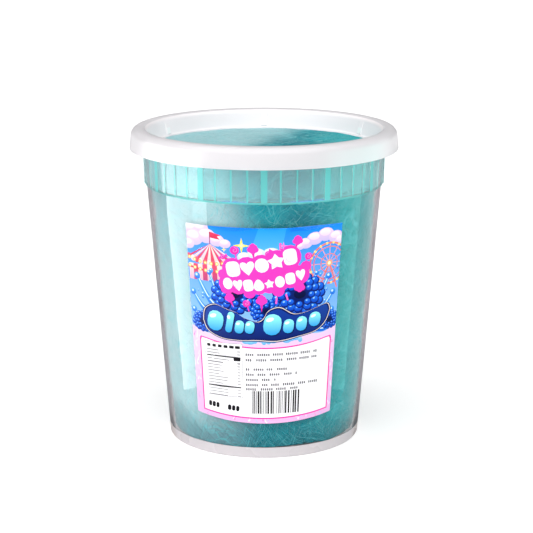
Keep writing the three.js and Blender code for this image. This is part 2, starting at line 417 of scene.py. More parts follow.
def turningTree():
    tree, given, made = newTree("GeometryNodeTree", "turning", [
        ("Profile", "Geometry", None), ("Ribs", "Int", 48), ("Wide Every", "Int", 4),
        ("Ledge Low", "Float", 1.0), ("Ledge High", "Float", 1.0), ("Foot Height", "Float", -1.0),
        *[(name, "Float", 0.0) for name in (
            "Narrow Half", "Wide Half", "Edge", "Narrow Proud", "Wide Proud", "Rib Low", "Rib High",
            "Rib Inside", "Rib Outside", "Lining Radius", "Middle Radius")],
        *[(name, "Material", None) for name in finishes],
    ], [("Mesh", "Geometry")])
    profile = given["Profile"]
    rows = addNode(tree, "GeometryNodeAttributeDomainSize", {"Geometry": profile}).outputs["Point Count"]
    columns = calc(tree, "MULTIPLY_ADD", given["Ribs"], stepSegments, 1)
    grid = addNode(tree, "GeometryNodeMeshGrid", {"Vertices X": columns, "Vertices Y": rows})
    index = addNode(tree, "GeometryNodeInputIndex").outputs[0]
    row = calc(tree, "MODULO", index, rows)
    column = calc(tree, "FLOOR", calc(tree, "DIVIDE", index, rows))
    sample = addNode(tree, "GeometryNodeSampleIndex", data_type="FLOAT_VECTOR", domain="POINT")
    setSocket(tree, sample.inputs["Geometry"], profile)
    setSocket(tree, sample.inputs["Value"], addNode(tree, "GeometryNodeInputPosition").outputs[0])
    setSocket(tree, sample.inputs["Index"], row)
    radius, _, height = split(tree, sample.outputs[0])

    step = calc(tree, "FLOOR", calc(tree, "DIVIDE", column, stepSegments))
    side = calc(tree, "SUBTRACT", calc(tree, "MODULO", column, stepSegments), stepSegments / 2)
    off = calc(tree, "ABSOLUTE", side)
    half = calc(tree, "DIVIDE", math.pi, given["Ribs"])
    isWide = calc(tree, "LESS_THAN", calc(tree, "MODULO", step, given["Wide Every"]), 0.5)
    top = mapRange(tree, isWide, 0, 1, given["Narrow Half"], given["Wide Half"])
    foot = calc(tree, "ADD", top, given["Edge"])
    turn = mapRange(tree, off, 0, 1, 0, top)
    turn = calc(tree, "ADD", turn, mapRange(tree, off, 1, 2, 0, given["Edge"]))
    turn = calc(tree, "ADD", turn, mapRange(tree, off, 2, 4, 0, calc(tree, "SUBTRACT", half, foot)))
    turn = calc(tree, "MULTIPLY", turn, calc(tree, "SIGN", side))
    angle = calc(tree, "ADD", calc(tree, "MULTIPLY", step, calc(tree, "MULTIPLY", half, 2)), turn)
    angle = calc(tree, "SUBTRACT", angle, math.pi / 2)

    proud = mapRange(tree, isWide, 0, 1, given["Narrow Proud"], given["Wide Proud"])
    raised = calc(tree, "MULTIPLY", calc(tree, "LESS_THAN", off, 1.5),
                  calc(tree, "GREATER_THAN", calc(tree, "ABSOLUTE", proud), 0))
    for test, value, limit in (
        ("GREATER_THAN", height, "Rib Low"), ("LESS_THAN", height, "Rib High"),
        ("GREATER_THAN", radius, "Rib Inside"), ("LESS_THAN", radius, "Rib Outside"),
    ):
        raised = calc(tree, "MULTIPLY", raised, calc(tree, test, value, given[limit]))
    radius = calc(tree, "MULTIPLY_ADD", proud, raised, radius)
    x = calc(tree, "MULTIPLY", radius, calc(tree, "COSINE", angle))
    y = calc(tree, "MULTIPLY", radius, calc(tree, "SINE", angle))
    placed = addNode(tree, "GeometryNodeSetPosition", {
        "Geometry": grid.outputs[0], "Position": joined(tree, x, y, height)})
    onLedge = calc(tree, "MULTIPLY", calc(tree, "GREATER_THAN", height, given["Ledge Low"]),
                   calc(tree, "LESS_THAN", height, given["Ledge High"]))
    tinted = calc(tree, "MAXIMUM", raised, onLedge)
    marked = addNode(tree, "GeometryNodeStoreNamedAttribute", {"Geometry": placed.outputs[0], "Value": tinted},
                     data_type="BOOLEAN", domain="POINT")
    marked.inputs["Name"].default_value = "rib"
    merged = addNode(tree, "GeometryNodeMergeByDistance", {
        "Geometry": marked.outputs[0], "Distance": 0.001 * mm})

    spot = split(tree, addNode(tree, "GeometryNodeInputPosition").outputs[0])
    fromAxis = vectorCalc(tree, "LENGTH", joined(tree, spot["X"], spot["Y"], 0))
    inMiddle = calc(tree, "LESS_THAN", fromAxis, given["Middle Radius"])
    inLining = calc(tree, "LESS_THAN", fromAxis, given["Lining Radius"])
    overLow = calc(tree, "GREATER_THAN", spot["Z"], given["Rib Low"])
    inBand = calc(tree, "MULTIPLY", overLow, calc(tree, "LESS_THAN", spot["Z"], given["Rib High"]))
    inFoot = calc(tree, "LESS_THAN", spot["Z"], given["Foot Height"])
    onRib = addNode(tree, "GeometryNodeInputNamedAttribute", {"Name": "rib"}, data_type="BOOLEAN").outputs[0]
    shape = merged.outputs[0]
    for finish, selection in zip(finishes, (None, inFoot, inBand, inLining, onRib, inMiddle)):
        painted = addNode(tree, "GeometryNodeSetMaterial", {"Geometry": shape, "Selection": selection})
        setSocket(tree, painted.inputs["Material"], given[finish])
        shape = painted.outputs[0]
    real = addNode(tree, "GeometryNodeRealizeInstances", {"Geometry": shape})
    setSocket(tree, made["Mesh"], real.outputs[0])
    return tree


turning = turningTree()


# Tub
tub = {
    "footRadius": 42.2 * mm, "footDepth": 3.2 * mm, "floorRound": 0.4 * mm,
    "bodyBottomRadius": 43.1 * mm, "bodyTopRadius": 52.55 * mm,
    "bandBottom": 116.2 * mm, "bandTop": 131.8 * mm, "bandStep": 0.85 * mm, "bandTopRadius": 53.8 * mm,
    "ledge": 0.4 * mm, "rimDepth": 4.0 * mm,
    "ribs": 48, "wideEvery": 4, "ribWidth": 0.75 * mm, "wideRibWidth": 2.7 * mm,
    "ribEdge": 0.15 * mm, "ribProud": 0.35 * mm,
}
tub["bandRadius"] = tub["bodyTopRadius"] + tub["bandStep"]


def bodyRadius(z):
    share = z / tub["bandBottom"]
    return tub["bodyBottomRadius"] + share * (tub["bodyTopRadius"] - tub["bodyBottomRadius"])


def tubCorners():
    rimTop = tubHigh.z
    rimBottom = rimTop - tub["rimDepth"]
    rimRadius = tubHigh.x
    stepFoot = tub["bandBottom"] - tub["ledge"]
    stepTop = tub["bandBottom"] + tub["ledge"]
    floorTop = tub["footDepth"] + wall
    footInside = tub["footRadius"] - wall
    return [
        (0, tub["footDepth"], 0),
        (footInside, tub["footDepth"], 1.2 * mm),
        (footInside, 0, 0.3 * mm),
        (bodyRadius(0), 0, 0.9 * mm),
        (bodyRadius(floorTop + 0.8 * mm), floorTop + 0.8 * mm, 0),
        (bodyRadius(stepFoot), stepFoot, 0.5 * mm),
        (tub["bandRadius"], stepTop, 0.25 * mm),
        (tub["bandTopRadius"], tub["bandTop"], 0),
        (tub["bandTopRadius"] + 0.1 * mm, rimBottom, 0.8 * mm),
        (rimRadius, rimBottom, 1.2 * mm),
        (rimRadius, rimTop, 1.7 * mm),
        (tub["bandTopRadius"], rimTop, 1.8 * mm),
        (tub["bandTopRadius"] - wall, tub["bandTop"] + wall, 0.6 * mm),
        (tub["bandRadius"] - wall, stepTop + tub["ledge"], 0.3 * mm),
        (bodyRadius(stepFoot) - wall, stepFoot + tub["ledge"], 0.3 * mm),
        (bodyRadius(floorTop) - wall, floorTop, tub["floorRound"]),
        (0, floorTop, 0),
    ]


ribTurn = 1 / tub["bandTopRadius"]  # angle for each metre along the band
tubPiece = grow("tub_shell", profileMesh("tubProfile", evenly(filleted(tubCorners()), 8 * mm)), (turning, {
    "Ribs": tub["ribs"], "Wide Every": tub["wideEvery"],
    "Narrow Half": tub["ribWidth"] / 2 * ribTurn, "Wide Half": tub["wideRibWidth"] / 2 * ribTurn,
    "Edge": tub["ribEdge"] * ribTurn, "Narrow Proud": tub["ribProud"], "Wide Proud": tub["ribProud"],
    "Rib Low": tub["bandBottom"], "Rib High": tub["bandTop"] + 0.1 * mm,
    "Rib Inside": tub["bandRadius"] - wall / 2, "Rib Outside": tub["bandTopRadius"] + 0.05 * mm,
    "Ledge Low": tub["bandBottom"] - tub["ledge"] - 0.3 * mm, "Ledge High": tub["bandBottom"] + 0.7 * mm,
    "Foot Height": tub["footDepth"] + 1.4 * wall,
    "Material": clear, "Foot Material": hazyFoot, "Band Material": frosted, "Rib Material": ribTint,
    "Lining Material": clear, "Middle Material": clear,
}))
faceOutwards(tubPiece)
smooth(tubPiece, 28)
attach(tubPiece, "root")
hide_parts("tub")
print("tub ready", len(tubPiece.data.polygons))

# Lid
lid = {
    "panelTop": 132.5 * mm, "recessRadius": 50.6 * mm, "mouthRadius": 52.4 * mm, "shoulderRadius": 59.1 * mm,
    "panelRound": 1.3 * mm, "innerRound": 2.5 * mm, "outerRound": 3.4 * mm,
    "lugs": 6, "lugWidth": 2.7 * mm, "lugHeight": 5.2 * mm, "lugProud": 0.5 * mm,
}


def lidCorners():
    crest = lidHigh.z
    skirtBottom = lid["panelTop"] - 0.8 * mm
    panelBottom = lid["panelTop"] - wall
    return [
        (0, lid["panelTop"], 0),
        (lid["recessRadius"], lid["panelTop"], lid["panelRound"]),
        (lid["mouthRadius"], crest, lid["innerRound"]),
        (lid["shoulderRadius"], crest, lid["outerRound"]),
        (lidHigh.x, skirtBottom, 0.3 * mm),
        (lidHigh.x - wall, skirtBottom, 0.3 * mm),
        (lid["shoulderRadius"] - wall, crest - wall, lid["outerRound"] - wall),
        (lid["mouthRadius"] + wall, crest - wall, lid["innerRound"] - wall),
        (lid["recessRadius"] + wall, panelBottom, lid["panelRound"] + wall),
        (0, panelBottom, 0),
    ]


lugTurn = 1 / lid["recessRadius"]
lidRibs = 48
lidPiece = grow("lid_shell", profileMesh("lidProfile", evenly(filleted(lidCorners()), 2.5 * mm)), (turning, {
    "Ribs": lidRibs, "Wide Every": lidRibs // lid["lugs"],
    "Narrow Half": lid["lugWidth"] / 2 * lugTurn, "Wide Half": lid["lugWidth"] / 2 * lugTurn,
    "Edge": 0.2 * mm * lugTurn, "Narrow Proud": 0.0, "Wide Proud": -lid["lugProud"],
    "Rib Low": lid["panelTop"] + lid["panelRound"] / 2, "Rib High": lid["panelTop"] + lid["lugHeight"],
    "Rib Inside": lid["recessRadius"] - lid["panelRound"], "Rib Outside": lid["mouthRadius"] + 0.1 * mm,
    "Material": milky, "Foot Material": milky, "Band Material": milky, "Rib Material": lugMilky,
    "Lining Material": lidInsideLit, "Lining Radius": lid["mouthRadius"] + 0.6 * mm,
    "Middle Material": panelClear, "Middle Radius": lid["recessRadius"] - 0.3 * mm,
}))
faceOutwards(lidPiece)
smooth(lidPiece, 35)
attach(lidPiece, "root")
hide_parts("lid")
print("lid ready", len(lidPiece.data.polygons))


# Cotton candy: a lumpy core and fibres that lie on it
candy = {
    "inset": 0.45 * mm,  # between the wall and the core's highest lumps
    "heel": 0.6 * mm, "shoulder": 0.8 * mm, "reach": 0.3 * mm, "spacing": 1.3 * mm, "columns": 36,
    "lumpDepth": 1.2 * mm, "lumpScale": 60.0, "ridgeDepth": 0.3 * mm, "ridgeScale": 420.0,
}


def lumpsTree():
    tree, given, made = newTree("GeometryNodeTree", "lumps", [
        ("Mesh", "Geometry", None), ("Lump Depth", "Float", 0.0), ("Lump Scale", "Float", 60.0),
        ("Ridge Depth", "Float", 0.0), ("Ridge Scale", "Float", 400.0), ("Pressed Height", "Float", 1.0),
    ], [("Mesh", "Geometry")])
    place = addNode(tree, "GeometryNodeInputPosition").outputs[0]
    x, y, z = split(tree, place)
    lump = mapRange(tree, noiseFactor(tree, place, given["Lump Scale"], 2.0), 0.35, 0.65, 0, 1, smooth=True)
    a, b, c = split(tree, twistedSpace(tree, place, calc(tree, "MULTIPLY", z, 24.0)))
    ridge = noiseFactor(tree, joined(tree, a, b, calc(tree, "MULTIPLY", c, 0.2)), given["Ridge Scale"], 2.0)
    depth = calc(tree, "MULTIPLY", lump, given["Lump Depth"])
    depth = calc(tree, "MULTIPLY_ADD", ridge, given["Ridge Depth"], depth)
    below = calc(tree, "SUBTRACT", given["Pressed Height"], z)
    depth = calc(tree, "MULTIPLY", depth, mapRange(tree, below, 1.5 * mm, 8 * mm, 0.2, 1.0, smooth=True))
    normal = addNode(tree, "GeometryNodeInputNormal").outputs[0]
    inwards = scaled(tree, normal, calc(tree, "MULTIPLY", depth, -1))
    moved = addNode(tree, "GeometryNodeSetPosition", {"Geometry": given["Mesh"], "Offset": inwards})
    real = addNode(tree, "GeometryNodeRealizeInstances", {"Geometry": moved.outputs[0]})
    setSocket(tree, made["Mesh"], real.outputs[0])
    return tree


strand = {
    "density": 115000, "thickness": 0.14 * mm, "spread": 0.25, "wander": 0.35, "lift": 0.04 * mm,
    "dropFrom": 4 * mm, "dropLength": 9 * mm,
}


def strandsTree():
    tree, given, made = newTree("GeometryNodeTree", "strands", [
        ("Core", "Geometry", None), ("Density", "Float", 1.0), ("Length", "Float", 0.01),
        ("Thickness", "Float", 0.0001), ("Lean", "Float", 0.5), ("Spread", "Float", 0.4),
        ("Wander", "Float", 1.0), ("Lift", "Float", 0.0),
        ("Seed", "Int", 1), ("Material", "Material", None),
    ], [("Mesh", "Geometry")])
    scatter = addNode(tree, "GeometryNodeDistributePointsOnFaces", {
        "Mesh": given["Core"], "Density": given["Density"], "Seed": given["Seed"]})
    place = addNode(tree, "GeometryNodeInputPosition").outputs[0]
    normal = scatter.outputs["Normal"]
    east = vectorCalc(tree, "NORMALIZE", vectorCalc(tree, "CROSS_PRODUCT", (0, 0.25, 1), normal))
    north = vectorCalc(tree, "CROSS_PRODUCT", normal, east)
    wander = mapRange(tree, noiseFactor(tree, place, 24.0, 1.0), 0.3, 0.7, -1, 1)
    chance = addNode(tree, "FunctionNodeRandomValue", data_type="FLOAT")
    for socket, value in zip([s for s in chance.inputs if s.enabled and s.type == "VALUE"], (-1.0, 1.0)):
        socket.default_value = value
    setSocket(tree, chance.inputs["Seed"], given["Seed"])
    spin = chance.outputs["Value"] if chance.outputs["Value"].enabled else chance.outputs[1]
    angle = calc(tree, "MULTIPLY_ADD", wander, given["Wander"], given["Lean"])
    angle = calc(tree, "MULTIPLY_ADD", spin, given["Spread"], angle)
    along = vectorCalc(tree, "ADD", scaled(tree, east, calc(tree, "COSINE", angle)),
                       scaled(tree, north, calc(tree, "SINE", angle)))
    points = scatter.outputs["Points"]
    for name, kind, value in (("middle", "FLOAT_VECTOR", place), ("along", "FLOAT_VECTOR", along),
                              ("out", "FLOAT_VECTOR", normal), ("tint", "FLOAT", spin)):
        store = addNode(tree, "GeometryNodeStoreNamedAttribute", data_type=kind, domain="POINT")
        setSocket(tree, store.inputs["Geometry"], points)
        store.inputs["Name"].default_value = name
        setSocket(tree, store.inputs["Value"], value)
        points = store.outputs[0]

    line = addNode(tree, "GeometryNodeCurvePrimitiveLine", {"End": (1, 0, 0)})
    fine = addNode(tree, "GeometryNodeResampleCurve", {"Curve": line.outputs[0], "Count": 6})
    copies = addNode(tree, "GeometryNodeInstanceOnPoints", {"Points": points, "Instance": fine.outputs[0]})
    lines = addNode(tree, "GeometryNodeRealizeInstances", {"Geometry": copies.outputs[0]})

    def stored(name, kind):
        return addNode(tree, "GeometryNodeInputNamedAttribute", {"Name": name}, data_type=kind).outputs[0]

    middle, way, out = (stored(name, "FLOAT_VECTOR") for name in ("middle", "along", "out"))
    tint = stored("tint", "FLOAT")
    share = addNode(tree, "GeometryNodeSplineParameter").outputs["Factor"]
    fromMiddle = calc(tree, "SUBTRACT", share, 0.5)
    length = calc(tree, "MULTIPLY", given["Length"], mapRange(tree, tint, -1, 1, 0.6, 1.4))
    spot = vectorCalc(tree, "ADD", middle, scaled(tree, way, calc(tree, "MULTIPLY", fromMiddle, length)))
    bend = calc(tree, "MULTIPLY", calc(tree, "MULTIPLY", fromMiddle, fromMiddle),
                calc(tree, "MULTIPLY", length, tint))
    across = vectorCalc(tree, "CROSS_PRODUCT", out, way)
    spot = vectorCalc(tree, "ADD", spot, scaled(tree, across, bend))
    # each point drops onto the core along the normal, or goes to the nearest place where nothing is hit
    near = addNode(tree, "GeometryNodeProximity", {"Geometry": given["Core"], "Sample Position": spot},
                   target_element="FACES")
    above = vectorCalc(tree, "ADD", spot, scaled(tree, out, strand["dropFrom"]))
    drop = addNode(tree, "GeometryNodeRaycast", {
        "Target Geometry": given["Core"], "Source Position": above,
        "Ray Direction": scaled(tree, out, -1), "Ray Length": strand["dropLength"]})
    landed = addNode(tree, "GeometryNodeSwitch", {
        "Switch": drop.outputs["Is Hit"], "False": near.outputs["Position"],
        "True": drop.outputs["Hit Position"],
    }, input_type="VECTOR")
    onCore = vectorCalc(tree, "ADD", landed.outputs[0], scaled(tree, out, given["Lift"]))
    laid = addNode(tree, "GeometryNodeSetPosition", {"Geometry": lines.outputs[0], "Position": onCore})
    fromEnd = calc(tree, "ABSOLUTE", calc(tree, "MULTIPLY", fromMiddle, 2))
    taper = calc(tree, "SUBTRACT", 1, calc(tree, "POWER", fromEnd, 3))
    thick = calc(tree, "MULTIPLY", calc(tree, "MAXIMUM", taper, 0.08), given["Thickness"])
    ring = addNode(tree, "GeometryNodeCurvePrimitiveCircle", {"Resolution": 3, "Radius": 0.5})
    tubes = addNode(tree, "GeometryNodeCurveToMesh", {
        "Curve": laid.outputs[0], "Profile Curve": ring.outputs[0], "Scale": thick, "Fill Caps": True})
    real = addNode(tree, "GeometryNodeRealizeInstances", {"Geometry": tubes.outputs[0]})
    finished = addNode(tree, "GeometryNodeSetMaterial", {
        "Geometry": real.outputs[0], "Material": given["Material"]})
    setSocket(tree, made["Mesh"], finished.outputs[0])
    return tree


def candyCorners():
    # It presses into the tub's floor and the lid's panel, so that no gap shows there.
    bottom = tub["footDepth"] + wall - candy["reach"]
    top = lid["panelTop"] - candy["reach"]
    inset = wall + candy["inset"]
    step = tub["bandBottom"] + tub["ledge"]
    mouth = tub["bandTopRadius"] - inset
    return [
        (0, bottom, 0),
        (bodyRadius(bottom) - inset, bottom, candy["heel"]),
        (bodyRadius(step) - inset, step, 0.5 * mm),
        (tub["bandRadius"] - inset, step + 3 * tub["ledge"], 0.5 * mm),
        (mouth, lid["panelTop"] - wall - candy["reach"], candy["shoulder"]),
        (lid["recessRadius"] - 0.2 * mm, top, 0.2 * mm),
        (0, top, 0),
    ]


lumps = lumpsTree()
columnTurn = math.pi / candy["columns"] / 4
candyProfile = profileMesh("candyProfile", evenly(filleted(candyCorners()), candy["spacing"]))
core = grow("candy_core", candyProfile, (turning, {
    "Ribs": candy["columns"], "Narrow Half": columnTurn, "Wide Half": columnTurn, "Edge": columnTurn,
    **dict.fromkeys(finishes, sugar),
}))
faceOutwards(core)
core.data.shade_smooth()
plainCore = core.data
bpy.data.objects.remove(core)
core = grow("candy_core", plainCore, (lumps, {
    "Lump Depth": candy["lumpDepth"], "Lump Scale": candy["lumpScale"],
    "Ridge Depth": candy["ridgeDepth"], "Ridge Scale": candy["ridgeScale"],
    "Pressed Height": lid["panelTop"],
}))
core.data.shade_smooth()
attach(core, "root")
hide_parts("cotton_candy")
print("candy core ready", len(core.data.polygons))

strands = strandsTree()
for name, seed, lean, length in (
    ("candy_strands_rising", 3, 0.8, 6.5 * mm),
    ("candy_strands_falling", 8, -0.7, 5.5 * mm),
):
    piece = grow(name, core.data.copy(), (strands, {
        "Density": strand["density"], "Length": length, "Thickness": strand["thickness"], "Lean": lean,
        "Spread": strand["spread"], "Wander": strand["wander"], "Lift": strand["lift"],
        "Seed": seed, "Material": paleStrand,
    }))
    piece.data.shade_smooth()
    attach(piece, "root")
    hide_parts("cotton_candy")
    print(name, "ready", len(piece.data.polygons))

# Label: one printed sheet. The print is cut into the sheet's front faces, and each shape keeps its own ink.
label = {
    "halfWidth": 33.9, "top": 105.4, "corner": 19.2, "sag": 2.7,  # millimetres along and up the wall
    "turn": math.radians(1 / 0.8378),  # angle for each millimetre along the wall
    "gap": 0.05 * mm, "thickness": 0.12 * mm, "grid": 1.7, "rows": 52, "weld": 1e-5, "seed": 11,
}
chance = random.Random(label["seed"])
printed = []  # (outline, top ink, bottom ink), lowest first


def ink(red, green, blue):
    return tuple(((part / 255 + 0.055) / 1.055) ** 2.4 if part > 10 else part / 3294.6
                 for part in (red, green, blue))


white = ink(252, 251, 253)
pink = ink(254, 60, 190)
navy = ink(14, 40, 105)
black = ink(24, 22, 28)
grey = ink(120, 118, 124)


def draw(outline, top, bottom=None):
    area = sum(a[0] * b[1] - b[0] * a[1] for a, b in zip(outline, outline[1:] + outline[:1]))
    printed.append((outline if area > 0 else outline[::-1], top, bottom or top))


def turned(points, x, z, angle=0.0):
    c = math.cos(angle)
    s = math.sin(angle)
    return [(x + c * u - s * v, z + s * u + c * v) for u, v in points]


def oval(x, z, width, height=None, angle=0.0, count=14):
    ring = [math.tau * i / count for i in range(count)]
    return turned([(width * math.cos(a), (height or width) * math.sin(a)) for a in ring], x, z, angle)


def bar(x, z, width, height, angle=0.0, rounding=0.0):
    if rounding == 0:
        return turned([(-width / 2, -height / 2), (width / 2, -height / 2), (width / 2, height / 2),
                       (-width / 2, height / 2)], x, z, angle)
    points = []
    for i, (u, v) in enumerate(((1, -1), (1, 1), (-1, 1), (-1, -1))):
        for step in range(4):
            a = math.radians(90 * (i - 1) + 30 * step)
            points.append((u * (width / 2 - rounding) + rounding * math.cos(a),
                           v * (height / 2 - rounding) + rounding * math.sin(a)))
    return turned(points, x, z, angle)


def star(x, z, tips, outer, inner, angle=math.pi / 2):
    points = []
    for i in range(tips * 2):
        reach = outer if i % 2 == 0 else inner
        a = math.pi * i / tips
        points.append((reach * math.cos(a), reach * math.sin(a)))
    return turned(points, x, z, angle)


def ribbon(points, width):
    # A line of some width through the points, thinner towards its end when two widths are given.
    first, last = width if isinstance(width, tuple) else (width, width)
    left, right = [], []
    for i, (x, z) in enumerate(points):
        ax, az = points[max(i - 1, 0)]
        bx, bz = points[min(i + 1, len(points) - 1)]
        size = math.hypot(bx - ax, bz - az) or 1
        half = (first + (last - first) * i / (len(points) - 1)) / 2
        left.append((x - (bz - az) / size * half, z + (bx - ax) / size * half))
        right.append((x + (bz - az) / size * half, z - (bx - ax) / size * half))
    return left + right[::-1]


def arc(x, z, radius, start, end, count=16, squash=1.0):
    angles = [math.radians(start + (end - start) * i / count) for i in range(count + 1)]
    return [(x + radius * math.cos(a), z + radius * squash * math.sin(a)) for a in angles]


def puffs(places, top, bottom):
    for x, z, size in places:
        draw(oval(x, z, size, size * 0.8), top, bottom)
    for x, z, size in places:
        draw(oval(x - size * 0.1, z + size * 0.25, size * 0.66, size * 0.42), white, top)


def curve(points, steps=6):
    # A smooth line through the points
    line = []
    for i in range(len(points) - 1):
        p = [Vector(points[min(max(j, 0), len(points) - 1)]) for j in (i - 1, i, i + 1, i + 2)]
        for step in range(steps):
            t = step / steps
            line.append(0.5 * (2 * p[1] + (p[2] - p[0]) * t + (2 * p[0] - 5 * p[1] + 4 * p[2] - p[3]) * t * t
                               + (3 * p[1] - p[0] - 3 * p[2] + p[3]) * t ** 3))
    line.append(Vector(points[-1]))
    return [tuple(point) for point in line]


def lowerEdge(x, lift=0.0, sag=None):
    return label["corner"] + lift - (sag or label["sag"]) * (1 - (x / label["halfWidth"]) ** 2)


def sky():
    side = label["halfWidth"]
    edge = [(-side + 2 * side * i / 24, lowerEdge(-side + 2 * side * i / 24)) for i in range(25)]
    draw(edge + [(side, label["top"]), (-side, label["top"])], ink(4, 140, 250), ink(190, 225, 252))
    draw([(-2, 106), (9, 106), (5, 84), (-9, 84)], ink(20, 156, 251), ink(120, 204, 252))


def clouds():
    pinkish = ink(246, 214, 244)
    lilac = ink(206, 190, 248)
    puffs([(-32, 103.5, 4.2), (-27, 104.2, 4), (-30, 99.5, 4.4), (-24, 100.8, 4.2), (-19.5, 99.2, 3.4),
           (-16, 98, 2.5), (-33, 96.5, 3)], pinkish, lilac)
    puffs([(17, 98.2, 3), (21, 100, 3.6), (26, 101.3, 3.8), (31, 99.6, 3.6), (33.5, 97.8, 3), (14.5, 97, 2)],
          pinkish, lilac)
    puffs([(-3, 93.5, 4), (3, 94, 3.6), (8, 93.6, 3), (-8, 92.4, 3)], ink(228, 236, 254), ink(170, 205, 250))


def tent():
    cream = ink(255, 226, 218)
    peak = (-22.5, 97.4)
    draw([(-22.7, 97), (-22.7, 102.8), (-22.3, 102.8), (-22.3, 97)], ink(150, 60, 90))
    draw([(-22.3, 102.8), (-17.6, 101.6), (-19.2, 100.9), (-17.9, 99.6), (-22.3, 100.2)],
         ink(240, 60, 96), ink(205, 30, 80))
    eaves = [-34.2 + 23.8 * i / 12 for i in range(13)]
    for i in range(12):
        a, b = eaves[i], eaves[i + 1]
        drop = 88.6 + 0.016 * (a + 22.3) ** 2
        red = (ink(240, 92, 120), ink(214, 50, 90))
        shade = red if i % 2 == 0 else (ink(255, 240, 226), ink(250, 196, 200))
        draw([peak, (a, drop), (b, drop)], *shade)
        draw(oval((a + b) / 2, drop, 1.0, 1.4), *shade)
    for i in range(10):
        x = -32.2 + 20.4 * i / 9
        shade = (ink(226, 70, 104), ink(180, 60, 120)) if i % 2 else (cream, ink(238, 170, 196))
        draw(bar(x, 84.2, 2.27, 7.2), *shade)
    draw(ribbon([(-34, 86.4), (-22.5, 84.7), (-11, 86.4)], 0.9), ink(214, 60, 96))
    for row, lift in ((88.6, 0.016), (85.2, 0.013)):
        for i in range(9):
            x = -33 + 2.65 * i
            z = row + lift * (x + 22.3) ** 2
            draw(oval(x, z, 0.85, count=8), ink(255, 186, 92))
            draw(oval(x, z, 0.48, count=8), ink(255, 250, 190))


def wheel():
    x, z, reach = 28.3, 88.2, 9.1
    salmon = ink(240, 134, 112)
    for turn in range(12):
        a = math.tau * turn / 12
        draw(ribbon([(x, z), (x + reach * math.cos(a), z + reach * math.sin(a))], 0.34), ink(250, 160, 140))
    for size, width in ((reach, 0.8), (reach - 1.7, 0.45), (reach * 0.45, 0.4)):
        draw(ribbon(arc(x, z, size, 0, 180, 20), width), salmon, ink(224, 100, 110))
        draw(ribbon(arc(x, z, size, 180, 360, 20), width), salmon, ink(224, 100, 110))
    for side in (-1, 1):
        draw(ribbon([(x, z), (x + side * 4.6, z - 11.5)], 0.7), ink(236, 120, 110))
    for turn in range(18):
        a = math.tau * turn / 18
        draw(oval(x + reach * math.cos(a), z + reach * math.sin(a), 0.62, count=8), ink(255, 226, 130))
    draw(oval(x, z, 1.5), ink(255, 170, 120))
    draw(oval(x, z, 0.8), ink(255, 244, 200))


def splash():
    light, mid, deep = ink(214, 240, 254), ink(70, 168, 244), ink(12, 96, 220)
    for side in (-1, 1):
        for root, bend, tip, width in (
            ((15, 66), (23, 72), (29, 82.5), 2.4), ((17, 64), (26, 68), (31.5, 75), 2.3),
            ((18, 60), (27, 62), (31.5, 67), 2.2), ((16, 68), (20, 76), (23, 84.5), 1.7),
            ((20, 60), (28, 58.5), (32, 61.5), 1.8),
        ):
            path = curve([(side * p - 0.5, q) for p, q in (root, bend, tip)], 5)
            draw(ribbon(path, (width * 1.7, width * 0.55)), mid, deep)
            draw(ribbon([(p, q + 0.35) for p, q in path[2:]], (width * 0.3, width * 0.16)), light)
            draw(oval(*path[-1], width * 0.66, count=10), mid, deep)
            draw(oval(path[-1][0] - 0.3, path[-1][1] + 0.4, width * 0.25, count=8), light)
        for i in range(9):
            x = side * chance.uniform(22, 33)
            z = chance.uniform(60, 86)
            size = chance.uniform(0.35, 0.95)
            draw(oval(x, z, size, size * 1.25, count=9), ink(120, 200, 250), deep)
            draw(oval(x - size * 0.25, z + size * 0.4, size * 0.3, count=6), white)


def berry(x, z, reach, squash=0.8):
    draw(oval(x, z, reach, reach * squash), ink(4, 34, 120), ink(2, 18, 84))
    for ring, count in ((0.95, 15), (0.74, 12), (0.52, 8)):
        for i in range(count):
            a = math.tau * (i + chance.uniform(-0.15, 0.15)) / count
            size = reach * (0.215 if ring > 0.9 else 0.2 if ring > 0.6 else 0.165)
            bx = x + reach * ring * math.cos(a)
            bz = z + reach * ring * squash * math.sin(a)
            draw(oval(bx, bz, size, size * 0.95, count=10), ink(6, 50, 160), ink(2, 20, 96))
            draw(oval(bx - size * 0.08, bz + size * 0.1, size * 0.78, size * 0.72, count=10),
                 ink(26, 116, 244), ink(6, 62, 190))
            draw(oval(bx - size * 0.25, bz + size * 0.38, size * 0.26, size * 0.18, 0.5, count=7),
                 ink(150, 208, 255))
    draw(oval(x, z + reach * 0.04, reach * 0.26, reach * 0.2), ink(0, 14, 84), ink(0, 6, 48))


